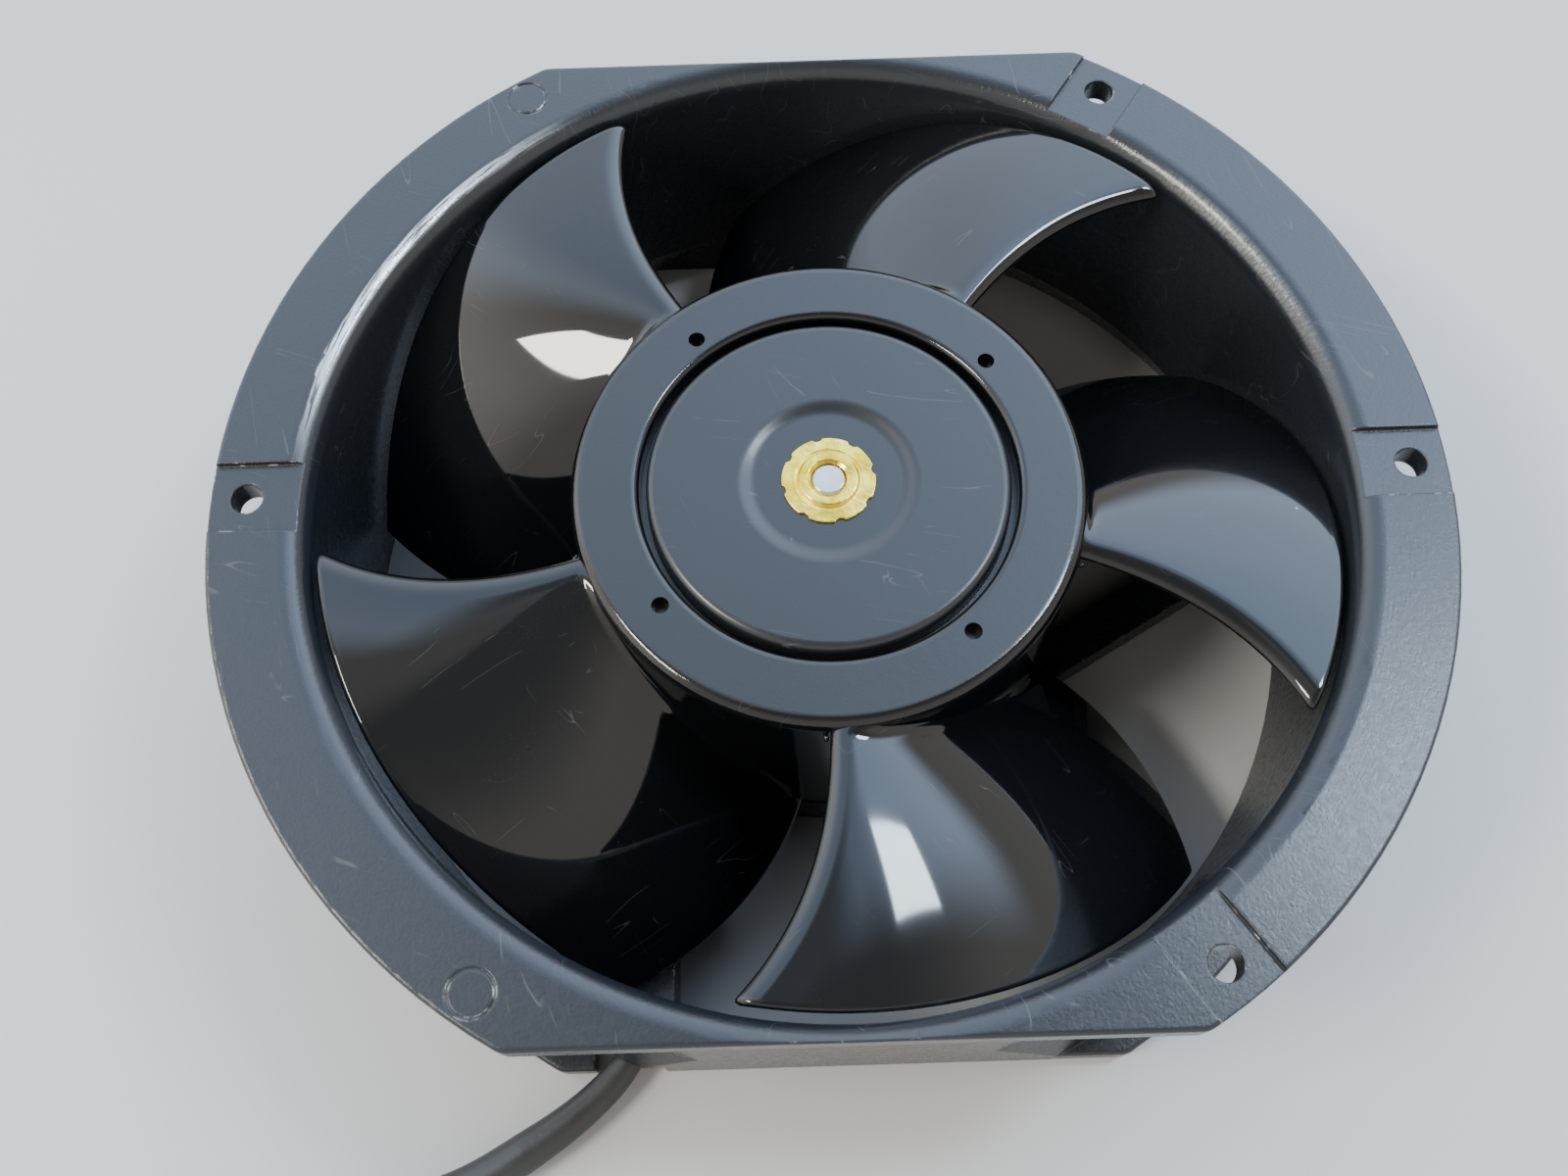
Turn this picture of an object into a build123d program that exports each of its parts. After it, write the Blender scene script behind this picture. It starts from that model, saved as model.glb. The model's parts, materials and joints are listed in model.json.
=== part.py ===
from build123d import *

import math
import os

# Axial cooling fan with an external-rotor motor, 172 x 150 x 51 mm.
# Millimetres. The origin is on the fan axis at the rear (resting) face, and +Z runs along the axis
# to the intake face. The two flats of the frame face -Y and +Y, and the cable leaves beside the -Y flat.

# ---- housing -----------------------------------------------------------------------------------
DEPTH = 51.0
FLANGE_R = 86.0
FLANGE_HALF = 75.0              # axis to the front flange's flats
REAR_FLANGE_R = 84.6
REAR_FLANGE_HALF = 73.4
FLANGE_T = 4.8
BORE_R = 72.5
INLET_ROUND = 3.5
FLARE_START = 11.0              # below this height the bore opens towards the rear face
FLARE_R = 78.0
FLARE_HALF = 72.2               # flat inner walls of the flared outlet
SHROUD_R = 76.3
SHROUD_REAR_R = 79.8

HOLE_R = 2.25
HOLE_CIRCLE_R = 81.0
HOLE_ANGLES = (0, 56, 180, -56)
HEAD_RELIEF_R = 4.0              # room for a screw head between the flanges
PAD_W = 10.5
PAD_SINK = 0.8
MARK_ANGLES = (123, -124)
MARK_CIRCLE_R = 82.0
MARK_R = 3.15

STRUT_ANGLES = (-90, 30, 150)
STRUT_OFFSET = 28.0             # each strut's centre line passes this far from the axis
STRUT_W = 7.0
STRUT_LOW = 1.5
STRUT_TOP = 7.5

BASE_R = 35.5
BASE_LOW = 1.2
BASE_TOP = 10.0
POCKET_R = 30.0
POCKET_TOP = 7.0
BOARD_LOW = 4.6
BOARD_TOP = 6.2
BOARD_SCREW_CIRCLE_R = 19.0
BOARD_SCREW_ANGLES = (30, 150, 270)
PIN_CIRCLE_R = 17.5
PIN_ANGLES = (22.5, 112.5, 202.5, 292.5)
COVER_R = 33.0
COVER_LEDGE = 2.2
COVER_T = 0.8
COVER_SCREW_R = 26.6
COVER_SCREW_ANGLES = (0, 120, 240)

# ---- cable -------------------------------------------------------------------------------------
WIRE_R = 0.75
WIRE_Z = 3.9
CHANNEL_W = 5.0
CHANNEL_TOP = 5.6
NOTCH_X = (-37.0, -26.5)
NOTCH_TOP = 6.6
NOTCH_Y = -66.0
JACKET_R = 2.9
JACKET_BORE_R = 1.85
JACKET_Z = 3.2                  # the cable's centre once it lies on the table
BUNDLE_R = 2 * WIRE_R / math.sqrt(3) + 0.04

# ---- motor -------------------------------------------------------------------------------------
SHAFT_R = 2.5
SHAFT_LOW = 8.2
SHAFT_TOP = 50.7
TUBE_R = 11.0
TUBE_LOW = 7.0
TUBE_TOP = 44.0
BEARING_R = 8.0
BEARING_W = 5.0
BEARING_HEIGHTS = {"rear": 13.5, "front": 40.5}
BALL_R = 1.389
BALL_CIRCLE_R = 5.25
BALL_COUNT = 7
GROOVE_R = 1.43
INNER_LAND_R = 3.9
OUTER_LAND_R = 6.6

STATOR_LOW = 19.0
STATOR_TOP = 33.0
STATOR_R = 24.2
TOOTH_COUNT = 8
TOOTH_W = 5.0
YOKE_R = 14.6
POLE_T = 2.7
INSULATOR_T = 1.5

ROTOR_STACK_LOW = 18.5
ROTOR_STACK_TOP = 33.5
ROTOR_STACK_BORE_R = 24.6
ROTOR_STACK_R = 30.3
CUP_R = 31.5
CUP_LOW = 15.0
CUP_SHOULDER = 47.0
CUP_FACE_R = 25.5
CUP_FACE_ROUND = 1.3
SHEET_T = 1.2
FACE_TOP = 50.8
DISH_R = 10.8
DISH_RIM_R = 12.4
DISH_FLOOR = 50.2
DISH_ROUND = 2.5
RETAINER_R = 6.6
RETAINER_T = 0.35
RETAINER_TOP = 50.9
CAGE_BAR_R = 0.9
CAGE_BAR_CIRCLE_R = 26.4
CAGE_BARS = 24

# ---- impeller ----------------------------------------------------------------------------------
HUB_R = 36.1
HUB_LOW = 14.0
HUB_RING_BORE_R = 26.5
HUB_EDGE_ROUND = 1.8
HUB_BORE_ROUND = 1.1
BALANCE_HOLE_R = 1.2
BALANCE_CIRCLE_R = 29.6
BLADE_COUNT = 5
BLADE_T = 1.8
BLADE_TIP_R = 71.4
BLADE_ROOT_R = 35.0
LEAD_TIP_ANGLE = -30.0          # where the first blade's leading edge meets its tip
LEAD_SWEEP = 10.1               # degrees from the leading edge's tip back to its root
TRAIL_ROOT_ANGLE = 76.0         # trailing edge, in degrees behind the leading edge's tip
TRAIL_SWEEP = 18.0
LEAD_Z = 49.2
TRAIL_ROOT_Z = 14.8
TRAIL_TIP_Z = 18.5
ROOT_CAMBER = 1.6               # power of the blade's fall along its chord at the hub
TIP_CAMBER = 2.4

BASE = (Align.CENTER, Align.CENTER, Align.MIN)


def disc(radius, low, top):
    return Pos(0, 0, low) * Cylinder(radius, top - low, align=BASE)


def ring(radius, bore, low, top):
    return disc(radius, low, top) - disc(bore, low, top)


def block(x, y, z):
    """A box between two x, two y and two z values."""
    centre = Pos((x[0] + x[1]) / 2, (y[0] + y[1]) / 2, (z[0] + z[1]) / 2)
    return centre * Box(x[1] - x[0], y[1] - y[0], z[1] - z[0])


def turned(points, rounds=()):
    """A solid of revolution from (radius, height) corners; rounds are (radius, height, fillet)."""
    outline = make_face(Polyline(*points, close=True))
    for x, z, size in rounds:
        corner = outline.vertices().sort_by_distance((x, z, 0))[0]
        outline = fillet(corner, size)
    return revolve(Plane.XZ * outline, Axis.Z)


def flatted(radius, half, low, top):
    """A disc with two parallel flats at -half and +half in Y."""
    outline = Circle(radius) & Rectangle(2 * radius, 2 * half)
    return Pos(0, 0, low) * extrude(outline, top - low)


def around(shape, radius, count, start=0):
    return [place * shape for place in PolarLocations(radius, count, start)]


def at_angles(shape, radius, angles):
    return [Rot(0, 0, angle) * Pos(radius, 0, 0) * shape for angle in angles]


def screw(shank_r, head_r, low, head_top, tip):
    """A pan-head screw driven upwards, its head at the bottom, with a cross recess."""
    head = fillet(disc(head_r, low, head_top).edges().sort_by(Axis.Z)[0], 0.4 * (head_top - low))
    slot = Box(1.3 * head_r, 0.25 * head_r, head_top - low)
    cross = Pos(0, 0, low) * (slot + Rot(0, 0, 90) * slot)
    return head + disc(shank_r, head_top, tip) - cross


# ---- housing: one die casting ------------------------------------------------------------------
def air_passage():
    """The rounded inlet, the straight bore and the flared outlet with its flat walls."""
    inlet_r = BORE_R + INLET_ROUND
    inlet_z = DEPTH - INLET_ROUND
    mouth = Plane.XZ * make_face(
        Polyline((inlet_r, DEPTH), (inlet_r, DEPTH + 1), (0, DEPTH + 1), (0, inlet_z), (BORE_R, inlet_z))
        + RadiusArc((BORE_R, inlet_z), (inlet_r, DEPTH), INLET_ROUND)
    )
    bore = disc(BORE_R, FLARE_START, inlet_z)
    flare = turned([(0, -1), (FLARE_R, -1), (FLARE_R, 0), (BORE_R, FLARE_START), (0, FLARE_START)])
    walls = block((-FLANGE_R, FLANGE_R), (-FLARE_HALF, FLARE_HALF), (-1, FLARE_START))
    return revolve(mouth, Axis.Z) + bore + (flare & walls)


def shroud():
    tube = turned([(0, 0), (SHROUD_REAR_R, 0), (SHROUD_REAR_R, FLANGE_T),
                   (SHROUD_R, FLARE_START + 5), (SHROUD_R, DEPTH - 1), (0, DEPTH - 1)])
    return tube & flatted(REAR_FLANGE_R, REAR_FLANGE_HALF, 0, DEPTH)


def struts():
    bar = block((BASE_R - 20, FLANGE_R),
                (-STRUT_OFFSET - STRUT_W / 2, -STRUT_OFFSET + STRUT_W / 2),
                (STRUT_LOW, STRUT_TOP))
    bars = Part() + [Rot(0, 0, angle) * bar for angle in STRUT_ANGLES]
    # Beside the flat, the strut that carries the wires steps up over the cable notch.
    bars += block((NOTCH_X[0], -STRUT_OFFSET + STRUT_W / 2), (-FLANGE_R, NOTCH_Y + 8), (CHANNEL_TOP, 12))
    inside = turned([(0, 0), (FLARE_R, 0), (FLARE_R, 3), (BORE_R + 2.5, 14), (0, 14)])
    return bars & inside & flatted(FLANGE_R, FLARE_HALF + 0.6, 0, 14)


def motor_base():
    """The cup that holds the electrical parts, with the collar for the bearing tube."""
    return turned([(0, BASE_LOW), (BASE_R, BASE_LOW), (BASE_R, BASE_TOP), (TUBE_R + 3, BASE_TOP),
                   (TUBE_R + 3, STATOR_LOW - INSULATOR_T), (0, STATOR_LOW - INSULATOR_T)],
                  rounds=[(BASE_R, BASE_TOP, 1.5), (TUBE_R + 3, BASE_TOP, 1.5)])


def motor_pocket():
    """The hollow of the motor base: cover ledge, pocket with its screw posts, and the tube's hole."""
    pocket = disc(POCKET_R, 0, POCKET_TOP)
    pocket -= at_angles(disc(2.8, COVER_LEDGE, POCKET_TOP), COVER_SCREW_R, COVER_SCREW_ANGLES)
    pocket -= at_angles(disc(1.8, BOARD_TOP, POCKET_TOP), BOARD_SCREW_CIRCLE_R, BOARD_SCREW_ANGLES)
    return pocket + disc(COVER_R, 0, COVER_LEDGE) + disc(TUBE_R, 0, STATOR_LOW)


def flange(radius, half, low):
    plate = flatted(radius, half, low, low + FLANGE_T)
    plate = fillet(plate.edges().filter_by(Axis.Z), 3)
    rims = plate.edges().group_by(Axis.Z)
    return fillet(rims[0] + rims[-1], 0.6)


def housing():
    body = flange(FLANGE_R, FLANGE_HALF, DEPTH - FLANGE_T) + flange(REAR_FLANGE_R, REAR_FLANGE_HALF, 0)
    body = body + shroud() - air_passage()
    pad = block((SHROUD_R - 4, FLANGE_R + 1), (-PAD_W / 2, PAD_W / 2), (DEPTH - PAD_SINK, DEPTH + 1))
    body -= [Rot(0, 0, angle) * pad for angle in HOLE_ANGLES]
    body -= at_angles(disc(HOLE_R, -1, DEPTH + 1), HOLE_CIRCLE_R, HOLE_ANGLES)
    body -= at_angles(disc(HEAD_RELIEF_R, FLANGE_T, DEPTH - FLANGE_T), HOLE_CIRCLE_R, HOLE_ANGLES)
    mark = ring(MARK_R, MARK_R - 0.35, DEPTH - 0.15, DEPTH + 1)
    body -= at_angles(mark, MARK_CIRCLE_R, MARK_ANGLES)
    body = body + struts() + motor_base() - motor_pocket()
    body -= block((-STRUT_OFFSET - CHANNEL_W / 2, -STRUT_OFFSET + CHANNEL_W / 2),
                  (NOTCH_Y, -2), (0, CHANNEL_TOP))
    body -= block(NOTCH_X, (-FLANGE_R, NOTCH_Y), (-1, NOTCH_TOP))
    body -= block((NOTCH_X[0], -STRUT_OFFSET), (NOTCH_Y - 1, NOTCH_Y + 8), (-1, CHANNEL_TOP))
    body -= at_angles(disc(1.25, BASE_LOW, 6.5), COVER_SCREW_R, COVER_SCREW_ANGLES)
    body -= at_angles(disc(0.8, BOARD_LOW, 8.6), BOARD_SCREW_CIRCLE_R, BOARD_SCREW_ANGLES)
    body -= at_angles(disc(0.8, BOARD_LOW, STATOR_LOW), PIN_CIRCLE_R, PIN_ANGLES)
    return body


# ---- bearings ----------------------------------------------------------------------------------
def bearing_tube():
    shoulder = (BEARING_HEIGHTS["rear"] + BEARING_W / 2, 36.6)
    tube = ring(TUBE_R, BEARING_R, TUBE_LOW, TUBE_TOP)
    return tube + ring(TUBE_R, 6.6, *shoulder)


def ball_groove(height):
    return Pos(0, 0, height) * Torus(BALL_CIRCLE_R, GROOVE_R)


def outer_race(height):
    low = height - BEARING_W / 2
    return ring(BEARING_R, OUTER_LAND_R, low, low + BEARING_W) - ball_groove(height)


def inner_race(height):
    low = height - BEARING_W / 2
    return ring(INNER_LAND_R, SHAFT_R, low, low + BEARING_W) - ball_groove(height)


def balls(height):
    return Compound(around(Pos(0, 0, height) * Sphere(BALL_R), BALL_CIRCLE_R, BALL_COUNT))


def ball_cage(height):
    """A crown ring between the races, with an open pocket for each ball."""
    crown = ring(BALL_CIRCLE_R + 0.8, BALL_CIRCLE_R - 0.8, height - 0.9, height + 1.95)
    return crown - around(Pos(0, 0, height) * Sphere(BALL_R + 0.05), BALL_CIRCLE_R, BALL_COUNT)


def shields(height):
    edge = BEARING_W / 2
    plates = [ring(OUTER_LAND_R, INNER_LAND_R + 0.15, height + side - 0.15, height + side + 0.15)
              for side in (0.25 - edge, edge - 0.25)]
    return Compound(plates)


def preload_spring():
    """A conical disc spring between the tube's shoulder and the front bearing."""
    return turned([(6.7, 37.5), (7.8, 36.7), (7.8, 37.1), (6.7, 37.9)])


# ---- stator ------------------------------------------------------------------------------------
def star(tooth_w, low, top):
    """A ring on the bearing tube with teeth that widen into pole shoes at the air gap."""
    tooth = block((YOKE_R - 2, STATOR_R - 0.5), (-tooth_w / 2, tooth_w / 2), (low, top))
    arc = 360 / TOOTH_COUNT - 8
    wedge = Pos(0, 0, low) * extrude(make_face(
        Polyline((0, 0), *[(40 * math.cos(math.radians(a)), 40 * math.sin(math.radians(a)))
                           for a in (-arc / 2, arc / 2)], close=True)), top - low)
    shoe = ring(STATOR_R, STATOR_R - POLE_T, low, top) & wedge
    return ring(YOKE_R, TUBE_R, low, top) + around(tooth, 0, TOOTH_COUNT) + around(shoe, 0, TOOTH_COUNT)


def stator_insulators():
    low = star(TOOTH_W + 0.8, STATOR_LOW - INSULATOR_T, STATOR_LOW)
    high = star(TOOTH_W + 0.8, STATOR_TOP, STATOR_TOP + INSULATOR_T)
    return Compound([*low.solids(), *high.solids()])


def stator_windings():
    """One rounded coil round each tooth."""
    inner_w = TOOTH_W + 1.0
    inner_h = STATOR_TOP - STATOR_LOW + 2 * INSULATOR_T + 0.2
    build = 2.1
    loop = RectangleRounded(inner_w + 2 * build, inner_h + 2 * build, build + 0.4)
    loop -= RectangleRounded(inner_w, inner_h, 0.2)
    coil = extrude(Plane.YZ * loop, 4.4)
    return Compound(around(Pos(16, 0, (STATOR_LOW + STATOR_TOP) / 2) * coil, 0, TOOTH_COUNT))


def winding_pins():
    pin = disc(0.4, BOARD_LOW - 1, STATOR_LOW - INSULATOR_T)
    return Compound(at_angles(pin, PIN_CIRCLE_R, PIN_ANGLES))


# ---- rotor -------------------------------------------------------------------------------------
def cage_bars(radius, low, top):
    return around(disc(radius, low, top), CAGE_BAR_CIRCLE_R, CAGE_BARS)


def rotor_laminations():
    stack = ring(ROTOR_STACK_R, ROTOR_STACK_BORE_R, ROTOR_STACK_LOW, ROTOR_STACK_TOP)
    return stack - cage_bars(CAGE_BAR_R, ROTOR_STACK_LOW, ROTOR_STACK_TOP)


def squirrel_cage():
    cage = ring(29.6, 25.0, ROTOR_STACK_LOW - 3, ROTOR_STACK_LOW)
    cage += ring(29.6, 25.0, ROTOR_STACK_TOP, ROTOR_STACK_TOP + 3)
    return cage + cage_bars(CAGE_BAR_R, ROTOR_STACK_LOW, ROTOR_STACK_TOP)


def rotor_cup():
    """A deep-drawn steel cup: open at the rear, stepped in to the front disc and its shallow dish."""
    outer = [(0, DISH_FLOOR), (DISH_R, DISH_FLOOR), (DISH_RIM_R, FACE_TOP), (CUP_FACE_R, FACE_TOP),
             (CUP_FACE_R, CUP_SHOULDER), (CUP_R, CUP_SHOULDER), (CUP_R, CUP_LOW)]
    inner = [(CUP_R - SHEET_T, CUP_LOW), (CUP_R - SHEET_T, CUP_SHOULDER - SHEET_T),
             (CUP_FACE_R - SHEET_T, CUP_SHOULDER - SHEET_T), (CUP_FACE_R - SHEET_T, FACE_TOP - SHEET_T),
             (DISH_RIM_R + 0.4, FACE_TOP - SHEET_T), (DISH_R + 0.4, DISH_FLOOR - SHEET_T),
             (0, DISH_FLOOR - SHEET_T)]
    rounds = [(CUP_FACE_R, FACE_TOP, CUP_FACE_ROUND), (CUP_FACE_R - SHEET_T, FACE_TOP - SHEET_T, 0.4),
              (DISH_R, DISH_FLOOR, DISH_ROUND), (DISH_RIM_R, FACE_TOP, DISH_ROUND)]
    cup = turned(outer + inner, rounds)
    return cup - disc(SHAFT_R, DISH_FLOOR - SHEET_T, DISH_FLOOR)


def rotor_bush():
    front_bearing_top = BEARING_HEIGHTS["front"] + BEARING_W / 2
    return turned([(SHAFT_R, front_bearing_top), (3.7, front_bearing_top), (3.7, TUBE_TOP + 0.6),
                   (7, TUBE_TOP + 0.6), (7, DISH_FLOOR - SHEET_T), (SHAFT_R, DISH_FLOOR - SHEET_T)])


def shaft():
    rod = disc(SHAFT_R, SHAFT_LOW, SHAFT_TOP)
    rod = chamfer(rod.edges().filter_by(GeomType.CIRCLE), 0.4)
    return rod - ring(SHAFT_R + 1, SHAFT_R - 0.5, 9.5, 10.1)


def shaft_retainer():
    """A push-on washer: a thin disc with a raised collar and a scalloped rim."""
    land = DISH_FLOOR + RETAINER_T
    washer = turned([(SHAFT_R, DISH_FLOOR), (RETAINER_R, DISH_FLOOR), (RETAINER_R, land), (4.4, land),
                     (4.0, RETAINER_TOP), (SHAFT_R, RETAINER_TOP)])
    return washer - around(disc(0.8, DISH_FLOOR, DEPTH), RETAINER_R + 0.4, 8, 12)


def rear_retaining_ring():
    clip = ring(4.4, SHAFT_R - 0.5, 9.5, 10.1)
    return clip - block((-1.4, 1.4), (0, 6), (9, 11))


def shaft_shim():
    return ring(4.2, SHAFT_R, 10.1, BEARING_HEIGHTS["rear"] - BEARING_W / 2)


# ---- impeller ----------------------------------------------------------------------------------
def blade_point(radius, chord):
    """A point on the blade's middle surface; chord runs from 0 at the leading edge to 1."""
    span = (radius - BLADE_ROOT_R) / (BLADE_TIP_R - BLADE_ROOT_R)
    out = max(span, 0)
    lead = LEAD_SWEEP * (1 - out ** 2)
    trail = TRAIL_ROOT_ANGLE - TRAIL_SWEEP * out ** 1.3
    angle = math.radians(LEAD_TIP_ANGLE + lead + (trail - lead) * chord)
    trail_z = TRAIL_ROOT_Z + (TRAIL_TIP_Z - TRAIL_ROOT_Z) * out
    camber = ROOT_CAMBER + (TIP_CAMBER - ROOT_CAMBER) * out
    height = LEAD_Z - (LEAD_Z - trail_z) * chord ** camber
    return Vector(radius * math.cos(angle), radius * math.sin(angle), height)


def blade():
    root, tip = HUB_R - 1.8, BLADE_TIP_R + 0.8
    radii = [root + (tip - root) * i / 9 for i in range(10)]
    chords = [i / 14 for i in range(15)]
    middle = Face.make_surface_from_array_of_points([[blade_point(r, c) for c in chords] for r in radii])
    sheet = Solid.thicken(middle, BLADE_T / 2) + Solid.thicken(middle, -BLADE_T / 2)
    return sheet & ring(BLADE_TIP_R, HUB_R - 1.2, 0, DEPTH)


def impeller():
    """The plastic hub ring, its barrel and the blades, moulded in one piece."""
    hub = turned([(HUB_RING_BORE_R, CUP_SHOULDER), (HUB_RING_BORE_R, FACE_TOP), (HUB_R, FACE_TOP),
                  (HUB_R, HUB_LOW), (CUP_R, HUB_LOW), (CUP_R, CUP_SHOULDER)],
                 rounds=[(HUB_R, FACE_TOP, HUB_EDGE_ROUND), (HUB_RING_BORE_R, FACE_TOP, HUB_BORE_ROUND)])
    hub -= at_angles(disc(BALANCE_HOLE_R, FACE_TOP - 2.4, DEPTH), BALANCE_CIRCLE_R, (38, 128, 218, 308))
    return hub + around(blade(), 0, BLADE_COUNT)


# ---- electrical parts in the rear pocket and the cable -----------------------------------------
def terminal_board():
    board = ring(22.5, 9, BOARD_LOW, BOARD_TOP)
    board -= block((-24, -20.3), (-5, 1), (BOARD_LOW, BOARD_TOP))
    board -= at_angles(disc(0.8, BOARD_LOW, BOARD_TOP), BOARD_SCREW_CIRCLE_R, BOARD_SCREW_ANGLES)
    return board - at_angles(disc(0.5, BOARD_LOW, BOARD_TOP), PIN_CIRCLE_R, PIN_ANGLES)


def board_screws():
    board_screw = screw(0.8, 1.6, BOARD_LOW - 1, BOARD_LOW, 8.4)
    return Compound(at_angles(board_screw, BOARD_SCREW_CIRCLE_R, BOARD_SCREW_ANGLES))


def terminal_block():
    body = block((-20.4, -13), (-4.5, 0.5), (2.6, BOARD_LOW))
    return fillet(body.edges().filter_by(Axis.Z), 0.5)


def thermal_cutout():
    body = block((-4, 4), (12, 16.5), (2.7, BOARD_LOW))
    return fillet(body.edges().filter_by(Axis.X), 0.6)


def rear_cover():
    cover = disc(COVER_R - 0.2, COVER_LEDGE - COVER_T, COVER_LEDGE)
    return cover - at_angles(disc(1.5, 0, 3), COVER_SCREW_R, COVER_SCREW_ANGLES)


def rear_label():
    """A blank foil disc on the cover."""
    return disc(21, COVER_LEDGE - COVER_T - 0.1, COVER_LEDGE - COVER_T)


def cover_screws():
    low = COVER_LEDGE - COVER_T
    return Compound(at_angles(screw(1.25, 2.3, low - 1.1, low, 6), COVER_SCREW_R, COVER_SCREW_ANGLES))


def cable_tie():
    """A nylon band round the strut that carries the wires, with its lock."""
    x = -STRUT_OFFSET
    half = STRUT_W / 2
    band = block((x - half - 1, x + half + 1), (-48.2, -45.8), (STRUT_LOW - 1, STRUT_TOP + 1))
    band -= block((x - half, x + half), (-49, -45), (STRUT_LOW, STRUT_TOP))
    lock = block((x + half + 0.5, x + half + 3), (-49, -45), (3, 7))
    return band + lock


def cable_path(start, end):
    """The bundle's middle beyond the strut: out of the notch, down to the table and away to the left.
    start and end are shares of its length."""
    bend = Spline((-STRUT_OFFSET, -56, WIRE_Z), (-33.2, -73.5, WIRE_Z - 0.2), (-47.5, -84.6, JACKET_Z),
                  (-98, -103, JACKET_Z), tangents=[(0, -1, 0), (-0.94, -0.34, 0)])
    return bend.trim(start, end)


def lead_wires():
    """Three insulated wires in one bundle, from the terminal block to the cable's free end."""
    bend_r = 4
    block_y = -2
    corner = (-STRUT_OFFSET + bend_r, block_y)
    turn = RadiusArc((*corner, WIRE_Z), (-STRUT_OFFSET, block_y - bend_r, WIRE_Z), -bend_r)
    route = Line((-20.4, block_y, WIRE_Z), (*corner, WIRE_Z)) + turn
    route += Line((-STRUT_OFFSET, block_y - bend_r, WIRE_Z), (-STRUT_OFFSET, -56, WIRE_Z))
    route += cable_path(0, 1)
    start = Plane((-20.4, block_y, WIRE_Z), x_dir=(0, -1, 0), z_dir=(-1, 0, 0))
    places = [start * place for place in PolarLocations(BUNDLE_R, 3, 90)]
    return Compound([sweep(place * Circle(WIRE_R), path=route) for place in places])


def wire_ends():
    """The tinned bare ends of the three wires."""
    ends = [wire.faces().sort_by(Axis.X)[0] for wire in lead_wires().solids()]
    return Compound([Plane(end) * Cylinder(0.55, 7, align=BASE) for end in ends])


def cable_jacket():
    """The sheath round the bundle: a long tapered nose from inside the notch, then a round cable."""
    nose = cable_path(0.13, 0.4)
    cable = cable_path(0.4, 0.9)
    mouth = Plane(nose @ 0, z_dir=nose % 0)
    full = Plane(cable @ 0, z_dir=cable % 0)
    sheath = sweep([mouth * Circle(JACKET_BORE_R + 0.15), full * Circle(JACKET_R)], path=nose,
                   multisection=True)
    sheath += sweep(full * Circle(JACKET_R), path=cable)
    return sheath - sweep(mouth * Circle(JACKET_BORE_R), path=cable_path(0.13, 0.9))


nodes = {
    "housing": housing(),
    "bearing_tube": bearing_tube(),
    "preload_spring": preload_spring(),
    "stator_laminations": star(TOOTH_W, STATOR_LOW, STATOR_TOP),
    "stator_insulators": stator_insulators(),
    "stator_windings": stator_windings(),
    "winding_pins": winding_pins(),
    "terminal_board": terminal_board(),
    "board_screws": board_screws(),
    "terminal_block": terminal_block(),
    "thermal_cutout": thermal_cutout(),
    "rear_cover": rear_cover(),
    "rear_label": rear_label(),
    "cover_screws": cover_screws(),
    "cable_tie": cable_tie(),
    "lead_wires": lead_wires(),
    "wire_ends": wire_ends(),
    "cable_jacket": cable_jacket(),
    "impeller": impeller(),
    "rotor_cup": rotor_cup(),
    "rotor_laminations": rotor_laminations(),
    "squirrel_cage": squirrel_cage(),
    "rotor_bush": rotor_bush(),
    "shaft": shaft(),
    "shaft_shim": shaft_shim(),
    "shaft_retainer": shaft_retainer(),
    "rear_retaining_ring": rear_retaining_ring(),
}
for end, middle in BEARING_HEIGHTS.items():
    nodes[end + "_outer_race"] = outer_race(middle)
    nodes[end + "_inner_race"] = inner_race(middle)
    nodes[end + "_balls"] = balls(middle)
    nodes[end + "_ball_cage"] = ball_cage(middle)
    nodes[end + "_bearing_shields"] = shields(middle)

os.makedirs("parts", exist_ok=True)
for name, shape in nodes.items():
    export_step(shape, f"parts/{name}.step")
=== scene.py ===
import json
import math

import bmesh
import bpy
from mathutils import Matrix, Vector


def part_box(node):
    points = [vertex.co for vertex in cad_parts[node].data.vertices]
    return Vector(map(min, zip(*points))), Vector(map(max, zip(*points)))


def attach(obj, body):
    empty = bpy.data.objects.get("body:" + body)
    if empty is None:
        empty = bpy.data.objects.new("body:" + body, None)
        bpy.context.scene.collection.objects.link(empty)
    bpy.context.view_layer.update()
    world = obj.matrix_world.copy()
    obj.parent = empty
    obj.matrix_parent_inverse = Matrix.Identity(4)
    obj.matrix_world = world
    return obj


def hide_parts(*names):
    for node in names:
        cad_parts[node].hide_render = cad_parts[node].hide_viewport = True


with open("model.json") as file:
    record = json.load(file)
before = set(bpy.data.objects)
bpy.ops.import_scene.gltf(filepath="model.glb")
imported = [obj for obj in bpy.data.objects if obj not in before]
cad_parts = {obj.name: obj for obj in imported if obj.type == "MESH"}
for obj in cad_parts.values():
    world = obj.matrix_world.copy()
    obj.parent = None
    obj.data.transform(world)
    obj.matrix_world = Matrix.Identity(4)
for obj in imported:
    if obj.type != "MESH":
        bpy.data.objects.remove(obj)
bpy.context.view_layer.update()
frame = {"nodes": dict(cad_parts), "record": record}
nodes = frame["nodes"]

MM = 0.001
ROUND_STEPS = 7                 # points on the arc of one fillet
HOLD_GAP = 0.06                 # support points stand this far from a bend
HOLD_FROM = 0.5                 # stretches longer than this get support points
WELD_GAP = 1e-4                 # points of a blade closer than this are one
SEAM_GAP = 1e-5
SHARP_DEGREES = 35              # edges sharper than this stay sharp


# ---- mesh helpers: all lengths in millimetres until finish_mesh ---------------------------------
def size_mm(node):
    """Lowest and highest corner of a CAD node in millimetres."""
    low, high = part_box(node)
    return low / MM, high / MM


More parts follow.
